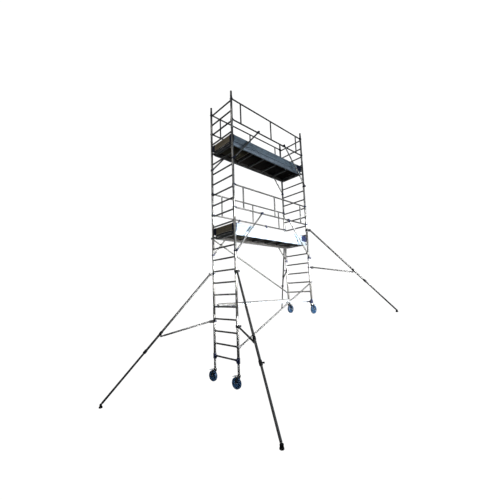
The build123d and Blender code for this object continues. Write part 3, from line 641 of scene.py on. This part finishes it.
def wheel(corner):
    """Tyre with a grooved tread round a ribbed hub with a boss and a bearing cap on each side."""
    centre, axle = joint_line(f"{corner}_castor_wheel_spin")
    half, shape = WHEEL_HALF, Shape()
    side = [(half - 0.002, RIM_R), (half, RIM_R + 0.003), (half, 0.098), (half - 0.003, 0.1045),
            (half - 0.008, 0.1085), (0.0105, WHEEL_R - 0.0003), (0.0095, 0.1078), (0.007, 0.1078),
            (0.006, WHEEL_R)]
    tread = side + [(-x, r) for x, r in reversed(side)]
    lathe(shape, centre, axle, tread, TYRE, 72, closed=True)
    web = [(half - 0.003, RIM_R), (half - 0.003, 0.078), (0.010, 0.072), (0.010, 0.030), (0.026, BOSS_R),
           (0.028, 0.019), (0.028, AXLE_R + 0.0003)]
    lathe(shape, centre, axle, web + [(-x, r) for x, r in reversed(web)], HUB, 72, closed=True)
    across, other = basis(axle)
    section = rounded_box(0.0032, 0.0058, 0.0015)
    for k in range(SPOKES):
        turn = 2 * pi * k / SPOKES
        spoke = across * cos(turn) + other * sin(turn)
        for face in (-1, 1):
            ends = [centre + axle * face * SPOKE_AT + spoke * radius for radius in SPOKE_SPAN]
            prism(shape, *ends, section, HUB, axle)
    ring = [(0.0105, 0.060), (0.0195, 0.060), (0.0215, 0.0605), (0.0215, 0.0635), (0.0195, 0.064),
            (0.0105, 0.064)]
    for face in (-1, 1):
        lathe(shape, centre, axle, [(x * face, r) for x, r in ring], HUB, 72, closed=True)
    node = f"{corner}_castor_wheel"
    shape.piece(f"{corner}_wheel_moulded", node, "castor_tyre", [node])


def fork_fittings(corner):
    """Axle nuts and washers, and the swivel's grease ring."""
    centre, axle = joint_line(f"{corner}_castor_wheel_spin")
    shape = Shape()
    for face in (-1, 1):
        hex_bolt(shape, centre + axle * face * FORK_OUT, axle * face, AXLE_BOLT)
    pivot, _ = joint_line(f"{corner}_castor_swivel")
    ring = [(-0.0145, 0.0332), (-0.0145, 0.0350), (-0.011, 0.0362), (-0.0075, 0.0350), (-0.0075, 0.0332)]
    lathe(shape, pivot, UP, ring, ZINC, 48, closed=True)
    shape.piece(f"{corner}_fork_fittings", f"{corner}_castor_fork", "castor_steel")


def pedal_ribs(corner):
    """Raised grip ribs across the pedal plate."""
    pivot, axle = joint_line(f"{corner}_castor_brake")
    centre, _ = joint_line(f"{corner}_castor_wheel_spin")
    shape = Shape()
    trail = centre - pivot
    trail = (trail - axle * trail.dot(axle)) * Vector((1, 1, 0))
    along = (trail.normalized() - UP * PEDAL_FALL).normalized()
    lift = axle.cross(along)
    lift = lift if lift.z > 0 else -lift
    root = pivot + UP * 0.012 + lift * 0.005
    section, reach = rounded_box(0.0014, 0.0014, 0.0006), axle * PEDAL_RIB_HALF
    for k in range(PEDAL_RIBS):
        at = root + along * (0.040 + 0.0085 * k)
        prism(shape, at - reach, at + reach, section, PEDAL_STEEL, along)
    shape.piece(f"{corner}_pedal_ribs", f"{corner}_castor_pedal", "castor_steel")


def leg_fittings(corner):
    """Spring-button holes down the castor leg and the bolts of its flange."""
    pivot, _ = joint_line(f"{corner}_castor_swivel")
    shape = Shape()
    disc = [(0, 0.0052), (0.0007, 0.0050), (0.0007, 0.0035), (0.0002, 0.0034), (0.0002, AXIS_GAP)]
    for k in range(LEG_HOLES):
        at = pivot + UP * HOLE_PITCH * (k + 1)
        for way in (-LENGTHWAYS, LENGTHWAYS):
            lathe(shape, at + way * HOLE_OUT, way, disc, DARK_STEEL, 20)
    for x, y in circle(0.0295, 8)[1::2]:
        hex_bolt(shape, pivot + Vector((x, y, 0.0143)), UP, 0.0038)
    shape.piece(f"{corner}_leg_fittings", f"{corner}_castor_leg", "castor_steel")


def lobed_knob(shape, at, axis, radius, height):
    """Moulded star knob with a dished cap."""
    axis, count = axis.normalized(), 60
    side, other = basis(axis)
    rings = []
    for along, share in ((0.0, 0.90), (0.08, 1.0), (0.85, 1.0), (1.0, 0.90)):
        points = circle(radius * share * 0.94, count, 6, radius * 0.07)
        rings.append(ring_points(at + axis * height * along, side, other, points))
    bridge(shape, rings, NAVY)
    shape.add(rings[0], [tuple(reversed(range(count)))], NAVY, False)
    shape.add(rings[-1], [tuple(range(count))], NAVY, False)
    cap = [(0, radius * 0.45), (height * 0.12, radius * 0.42), (height * 0.2, radius * 0.2)]
    cap.append((height * 0.22, AXIS_GAP))
    lathe(shape, at + axis * height, axis, cap, BLACK, 32)


def outrigger_line(corner):
    """Stile axis at the upper clamp, reach direction, tangent, and the leg's two ends."""
    clamp, _ = joint_line(f"{corner}_outrigger_swing")
    foot, _ = joint_line(f"{corner}_outrigger_foot_tilt")
    reach = (foot - clamp) * Vector((1, 1, 0))
    reach.normalize()
    return clamp, reach, UP.cross(reach), clamp + reach * ARM_REACH, foot


def outrigger_fittings(corner):
    """Star knobs, pivot bolts and clamp lugs of both stile clamps, and the collar bolts."""
    clamp, reach, tangent, top, foot = outrigger_line(corner)
    shape = Shape()
    low = clamp - UP * STRUT_BELOW[corner]
    for centre, radius in ((clamp, LEG_R), (low, STRUT_R)):
        lobed_knob(shape, centre + tangent * CLAMP_KNOB_OUT, tangent, *CLAMP_KNOB)
        end = centre + reach * ARM_REACH
        for face in (-1, 1):
            hex_bolt(shape, end + tangent * face * (radius + 0.0002 + CHEEK), tangent * face, LARGE_BOLT)
        for rise in (-0.013, 0.013):
            hex_bolt(shape, centre - reach * CLAMP_R + UP * rise, -reach, SMALL_BOLT)
        lug = [(-0.022, CLAMP_R - 0.001), (-0.022, CLAMP_R + 0.0015), (-0.018, CLAMP_R + 0.0015),
               (-0.018, CLAMP_R - 0.001)]
        lathe(shape, centre, UP, lug, NAVY, 48, closed=True)
        lathe(shape, centre, -UP, lug, NAVY, 48, closed=True)
    along = (foot - top).normalized()
    length = (foot - top).length
    lift = tangent.cross(along)
    lift = lift if lift.z > 0 else -lift
    collar, lock = top + along * length * COLLAR_SHARE, top + along * (length * LOCK_SHARE - LOCK_BACK)
    for at in (collar, lock):
        for step in (-0.018, 0.018):
            hex_bolt(shape, at + along * step + lift * COLLAR_OUT, lift, 0.0040)
    for face in (-1, 1):
        hex_bolt(shape, collar - UP * EYE_DROP + tangent * face * STRUT_R, tangent * face, 0.0070)
    lobed_knob(shape, lock + tangent * LOCK_KNOB_OUT, tangent, *LOCK_KNOB)
    shape.piece(f"{corner}_outrigger_fittings", f"{corner}_outrigger", "tube_aluminium")


def foot_boot(corner):
    """Ribbed rubber boot with two ears and a bolted pivot pin."""
    _, reach, tangent, _, foot = outrigger_line(corner)
    shape, ground = Shape(), foot - UP * PIVOT_HEIGHT
    boot = [(0, AXIS_GAP), (0, 0.0265), (0.0025, 0.0290), (0.006, 0.0300), (0.0085, 0.0285),
            (0.011, 0.0300), (0.0135, 0.0285), (0.016, 0.0298), (0.019, 0.0280), (0.024, 0.0250),
            (0.0262, 0.0200), (0.0265, AXIS_GAP)]
    lathe(shape, ground, UP, boot, RUBBER, 48)
    ear = circle(0.017, 24)[:13] + [(-0.020, -0.028), (0.020, -0.028)]
    for start in (EAR_GAP, -EAR_OUT):
        rings = []
        for step, share in ((0.0, 0.97), (0.001, 1.0), (0.006, 1.0), (0.007, 0.97)):
            centre = foot + tangent * (start + step)
            rings.append([centre + reach * x * share + UP * y * share for x, y in ear])
        bridge(shape, rings, RUBBER)
        shape.add(rings[0], [tuple(reversed(range(len(ear))))], RUBBER, False)
        shape.add(rings[-1], [tuple(range(len(ear)))], RUBBER, False)
    for face in (-1, 1):
        hex_bolt(shape, foot + tangent * face * EAR_OUT, tangent * face, 0.0062)
    prism(shape, foot - tangent * EAR_OUT, foot + tangent * EAR_OUT, circle(0.006, 24), ZINC)
    node = f"{corner}_outrigger_foot"
    shape.piece(f"{corner}_foot_boot", node, "foot_rubber", [node])


for corner in CORNERS:
    wheel(corner)
    fork_fittings(corner)
    pedal_ribs(corner)
    leg_fittings(corner)
    outrigger_fittings(corner)
    foot_boot(corner)


def deck_trim(deck):
    """Lips, a dark seam strip and rivets along the side beams, and bolts at their ends."""
    top = rung_z(DECK_RUNGS[deck]) + DECK_RISE
    depth = BASE_DEPTH if deck == "base" else BEAM_DEPTH
    x0, x1 = END_X["near"] + BEAM_END, END_X["far"] - BEAM_END
    shape = Shape()
    for side, out in OUT.items():
        y = SIDE_Y[side] - out.y * BEAM_SIDE
        # The lips take the blue-grey beam metal, its tint painted sky reflection.
        for z, high in ((top - 0.0085, 0.009), (top - depth, 0.007)):
            near, far = sorted((y - out.y * 0.001, y + out.y * 0.0022))
            bar(shape, (x0, near, z), (x1, far, z + high), SKY_TINTED_BEAM_METAL, 0.0008)
        near, far = sorted((y - out.y * 0.001, y + out.y * 0.0006))
        seam = top - depth * 0.42
        bar(shape, (x0, near, seam), (x1, far, seam + 0.003), DARK_STEEL, 0.0005)
        for x in np.linspace(x0 + 0.035, x1 - 0.035, 17):
            at = Vector((x, y, top - 0.016))
            rivet(shape, at + out * 0.0001, out, 0.0042, DARK_STEEL)
        for x in (x0 + 0.012, x1 - 0.012):
            for rise in (0.014, 0.028):
                hex_bolt(shape, Vector((x, y, top - depth + rise)), out, SMALL_BOLT)
    shape.piece(f"{deck}_deck_trim", "tower", "deck_aluminium")


def board_caps(deck):
    """Aluminium channels along the toe boards' top and bottom edges."""
    bottom = rung_z(DECK_RUNGS[deck]) + DECK_RISE
    top, wall, shape = bottom + BOARD_HIGH, 0.0012, Shape()
    x0, x1 = END_X["near"] + BOARD_END, END_X["far"] - BOARD_END
    y0, y1 = SIDE_Y["right"] + BOARD_SIDE, SIDE_Y["left"] - BOARD_SIDE
    start_x, end_x = x0 + BOARD_CORNER, x1 - BOARD_CORNER
    start_y, end_y = y0 + BOARD_CORNER, y1 - BOARD_CORNER
    for low, high in ((bottom + 0.0005, bottom + 0.009), (top - 0.008, top + wall)):
        # Side channels take the blue-grey beam metal, its tint painted sky reflection.
        for near in (y0 - wall, y1 - BOARD_THICK - wall):
            far = near + BOARD_THICK + 2 * wall
            bar(shape, (start_x, near, low), (end_x, far, high), SKY_TINTED_BEAM_METAL, 0.0008)
        for near in (x0 - wall, x1 - BOARD_THICK - wall):
            far = near + BOARD_THICK + 2 * wall
            bar(shape, (near, start_y, low), (far, end_y, high), EDGE_METAL, 0.0008)
    for y, out in ((y0, -ACROSS), (y1, ACROSS)):
        for x in (x0 + 0.045, x1 - 0.045):
            for rise in (0.035, 0.115):
                rivet(shape, Vector((x, y + out.y * 0.005, bottom + rise)), out, RIVET, ZINC)
    shape.piece(f"{deck}_board_caps", "tower", "toe_board_wood")


def far_brackets(deck):
    """Ribbed moulded brackets on the far corners of the side boards, each held by four bolts."""
    bottom, shape = rung_z(DECK_RUNGS[deck]) + DECK_RISE, Shape()
    x1 = END_X["far"] - BOARD_END
    x0, plate = x1 - BRACKET_LONG, BRACKET_THICK
    for side, out in OUT.items():
        face = SIDE_Y[side] - out.y * BRACKET_IN
        near, far = sorted((face, face + out.y * plate))
        bar(shape, (x0, near, bottom + 0.002), (x1 - 0.008, far, bottom + 0.149), NAVY, 0.002)
        near, far = sorted((face, face - out.y * 0.0051))
        bar(shape, (x0, near, bottom + 0.012), (x1 - 0.0715, far, bottom + 0.139), NAVY, 0.001)
        near, far = sorted((face + out.y * plate, face + out.y * 0.011))
        for k in range(BRACKET_RIBS):
            left = x0 + 0.010 + RIB_PITCH * k
            bar(shape, (left, near, bottom + 0.012), (left + 0.006, far, bottom + 0.139), NAVY, 0.0015)
        for x in (x1 - 0.168, x1 - 0.042):
            for rise in (0.035, 0.115):
                hex_bolt(shape, Vector((x, face + out.y * plate, bottom + rise)), out, BOLT)
    shape.piece(f"{deck}_far_brackets", "tower", "navy_plastic")


def hatch_fittings(deck):
    """Edge trims with their rivets above and below, and the bar in the hand hole."""
    top = rung_z(DECK_RUNGS[deck]) + DECK_RISE
    x0, x1 = (END_X["near"] + x for x in HATCH_X)
    y0, y1 = (SIDE_Y["right"] + y for y in HATCH_Y)
    shape, wide = Shape(), HATCH_EDGE
    for z in (top - 0.0003, top - 0.0133):
        high = z + 0.0016
        bar(shape, (x0, y0, z), (x1, y0 + wide, high), EDGE_METAL, 0.0006)
        bar(shape, (x0, y0 + wide, z), (x0 + wide, y1, high), EDGE_METAL, 0.0006)
        bar(shape, (x1 - wide, y0 + wide, z), (x1, y1, high), EDGE_METAL, 0.0006)
    middle, grip_y = (x0 + x1) / 2, y0 + 0.055
    grip = [Vector((middle + reach, grip_y, top - 0.006)) for reach in (-0.071, 0.071)]
    prism(shape, *grip, circle(0.004, 20), ZINC)
    for x in (x0 + wide / 2, x1 - wide / 2):
        for y in np.linspace(y0 + wide / 2, y1 - wide / 2, 5):
            rivet(shape, Vector((x, y, top + 0.0012)), UP, 0.0035, ZINC)
    shape.piece(f"{deck}_hatch_fittings", f"{deck}_hatch", "deck_plywood")


def rail_fittings(deck):
    """Weld beads where the posts meet the rails, and the latches and bolts of the claws."""
    number, shape = DECK_RUNGS[deck], Shape()
    wedge, half = [(-0.012, 0), (0.012, 0), (0.010, 0.007), (-0.006, 0.010)], ACROSS * 0.007
    low, high = (rung_z(number + step) + RAIL_RISE for step in (2, 4))
    for side, out in OUT.items():
        y = SIDE_Y[side]
        for offset in POST_X:
            x = END_X["near"] + offset
            saddle_bead(shape, Vector((x, y, low)), LENGTHWAYS, UP, RAIL_R, RAIL_R, WELD)
            saddle_bead(shape, Vector((x, y, high)), LENGTHWAYS, -UP, RAIL_R, RAIL_R, WELD)
        for end, way in (("near", 1), ("far", -1)):
            for z in (low, high):
                at = Vector((END_X[end] + way * 0.047, y, z + 0.0155))
                prism(shape, at - half, at + half, wedge, NAVY, UP, 0.0006)
                hex_bolt(shape, Vector((END_X[end], y, z)) + out * CLAW_R, out, 0.0055)
    shape.piece(f"{deck}_rail_fittings", "tower", "tube_aluminium")


def clamp_fittings():
    """Knobs and bolts on the brace clamps, diagonal claws and corner castings."""
    shape = Shape()
    for deck in ("lower", "upper"):
        number = DECK_RUNGS[deck]
        for end, way in (("near", 1), ("far", -1)):
            for side, out in OUT.items():
                foot_out, head_out = (SIDE_OFFSET, SIDE_OFFSET) if side == "right" else (CLAW_R, 0.0245)
                foot = Vector((END_X[end], SIDE_Y[side], rung_z(number) - BRACE_BELOW))
                head_z = rung_z(number + 2) + RAIL_RISE
                head = Vector((END_X[end] + way * BRACE_REACH, SIDE_Y[side], head_z))
                lobed_knob(shape, foot + out * foot_out, out, *BRACE_KNOB)
                hex_bolt(shape, head + out * head_out, out, 0.0070)
    for side, near_rung, far_rung in DIAGONALS:
        for end, number in (("near", near_rung), ("far", far_rung)):
            at = Vector((END_X[end], SIDE_Y[side], rung_z(number))) + OUT[side] * SIDE_OFFSET
            hex_bolt(shape, at, OUT[side], 0.0070)
    for end, number in (("near", 1), ("far", 5)):
        for side, out in OUT.items():
            for rise in CASTING_BOLTS:
                at = Vector((END_X[end], SIDE_Y[side], rung_z(number) + rise))
                hex_bolt(shape, at + out * CASTING_R, out, BOLT)
    shape.piece("clamp_fittings", "tower", "navy_plastic")


for deck in DECK_RUNGS:
    deck_trim(deck)
for deck in ("lower", "upper"):
    board_caps(deck)
    far_brackets(deck)
    hatch_fittings(deck)
    rail_fittings(deck)
clamp_fittings()


# ---- Stage, light and camera ----
def stage():
    """Pale floor that the camera sees as plain white and that throws little light back."""
    mesh = bpy.data.meshes.new("floor")
    half = 60.0
    corners = [(x * half, y * half, 0) for x, y in ((-1, -1), (1, -1), (1, 1), (-1, 1))]
    mesh.from_pydata(corners, [], [(0, 1, 2, 3)])
    floor = bpy.data.objects.new("floor", mesh)
    bpy.context.scene.collection.objects.link(floor)
    mat, nodes, links, shader = graph("pale_floor")
    shader.inputs["Base Color"].default_value = (0.05, 0.05, 0.048, 1)
    shader.inputs["Roughness"].default_value = 0.95
    white, path = nodes.new("ShaderNodeEmission"), nodes.new("ShaderNodeLightPath")
    mix = nodes.new("ShaderNodeMixShader")
    white.inputs["Strength"].default_value = 1.05
    links.new(path.outputs["Is Camera Ray"], mix.inputs["Fac"])
    links.new(shader.outputs["BSDF"], mix.inputs[1])
    links.new(white.outputs["Emission"], mix.inputs[2])
    links.new(mix.outputs["Shader"], nodes["Material Output"].inputs["Surface"])
    mesh.materials.append(mat)


def sky():
    """White behind the object for the camera, a soft graded studio for the light on it."""
    world = bpy.data.worlds.new("studio")
    bpy.context.scene.world = world
    world.use_nodes = True
    nodes, links = world.node_tree.nodes, world.node_tree.links
    output = nodes["World Output"]
    seen, light = nodes["Background"], nodes.new("ShaderNodeBackground")
    seen.inputs["Color"].default_value = (1, 1, 1, 1)
    seen.inputs["Strength"].default_value = 1.05
    place, split = nodes.new("ShaderNodeTexCoord"), nodes.new("ShaderNodeSeparateXYZ")
    links.new(place.outputs["Generated"], split.inputs["Vector"])
    height = spread(nodes, links, split.outputs["Z"], 0.0, 1.0, start=-1.0)
    stops = [(0.0, (0.20, 0.19, 0.17)), (0.5, (0.22, 0.23, 0.25)), (1.0, (0.10, 0.12, 0.15))]
    graded = ramp(nodes, links, height, stops)
    links.new(graded, light.inputs["Color"])
    light.inputs["Strength"].default_value = 0.45
    path, mix = nodes.new("ShaderNodeLightPath"), nodes.new("ShaderNodeMixShader")
    links.new(path.outputs["Is Camera Ray"], mix.inputs["Fac"])
    links.new(light.outputs["Background"], mix.inputs[1])
    links.new(seen.outputs["Background"], mix.inputs[2])
    links.new(mix.outputs["Shader"], output.inputs["Surface"])


def area_light(name, place, target, size, power, colour, beam=180.0):
    """Round area light aimed at a target; beam is its spread in degrees."""
    data = bpy.data.lights.new(name, "AREA")
    data.shape, data.size, data.energy, data.color = "DISK", size, power, colour
    data.spread = radians(beam)
    obj = bpy.data.objects.new(name, data)
    bpy.context.scene.collection.objects.link(obj)
    obj.location = place
    obj.rotation_mode = "QUATERNION"
    obj.rotation_quaternion = (Vector(target) - Vector(place)).to_track_quat("-Z", "Y")


def camera():
    """Low corner view: the eye is 1.77 m above the lower ground, looking slightly up."""
    data = bpy.data.cameras.new("camera")
    data.sensor_width, data.lens = 36.0, 19.66
    obj = bpy.data.objects.new("camera", data)
    bpy.context.scene.collection.objects.link(obj)
    right = Vector((0.7289, -0.6837, -0.0363)).normalized()
    forward = Vector((0.6797, 0.7163, 0.1581)).normalized()
    up = right.cross(forward).normalized()
    turn = Matrix((right, up, -forward)).transposed().to_4x4()
    eye = Vector((END_X["near"] - 3.536, SIDE_Y["right"] - 4.156, FIRST_RUNG + 1.247))
    obj.matrix_world = Matrix.Translation(eye) @ turn
    data.clip_start, data.clip_end = 0.05, 200.0
    bpy.context.scene.camera = obj


stage()
sky()
middle = (END_X["near"] + 1.27, SIDE_Y["right"] + 0.38, 3.0)
area_light("key", (-7.0, -1.0, 9.0), middle, 3.0, 100, (1.0, 0.98, 0.95))
area_light("fill", (3.0, -9.0, 5.5), middle, 3.0, 165, (0.82, 0.91, 1.0))
area_light("low", (0.7, -5.6, 2.6), (0.5, -0.2, 2.35), 1.5, 150, (1.0, 1.0, 1.0), 50.0)
area_light("castor", (-4.6, -2.4, 0.9), (-0.95, 0.2, 0.2), 0.8, 1.7, (0.85, 0.93, 1.0), 25.0)
area_light("front", (-6.0, -0.6, 2.0), (-0.95, 0.2, 1.75), 0.6, 3.4, (1.0, 0.99, 0.96), 16.0)
area_light("rim", (5.0, 8.0, 8.0), middle, 4.0, 130, (1.0, 1.0, 1.0))
camera()
bpy.context.scene.view_settings.view_transform = "Standard"
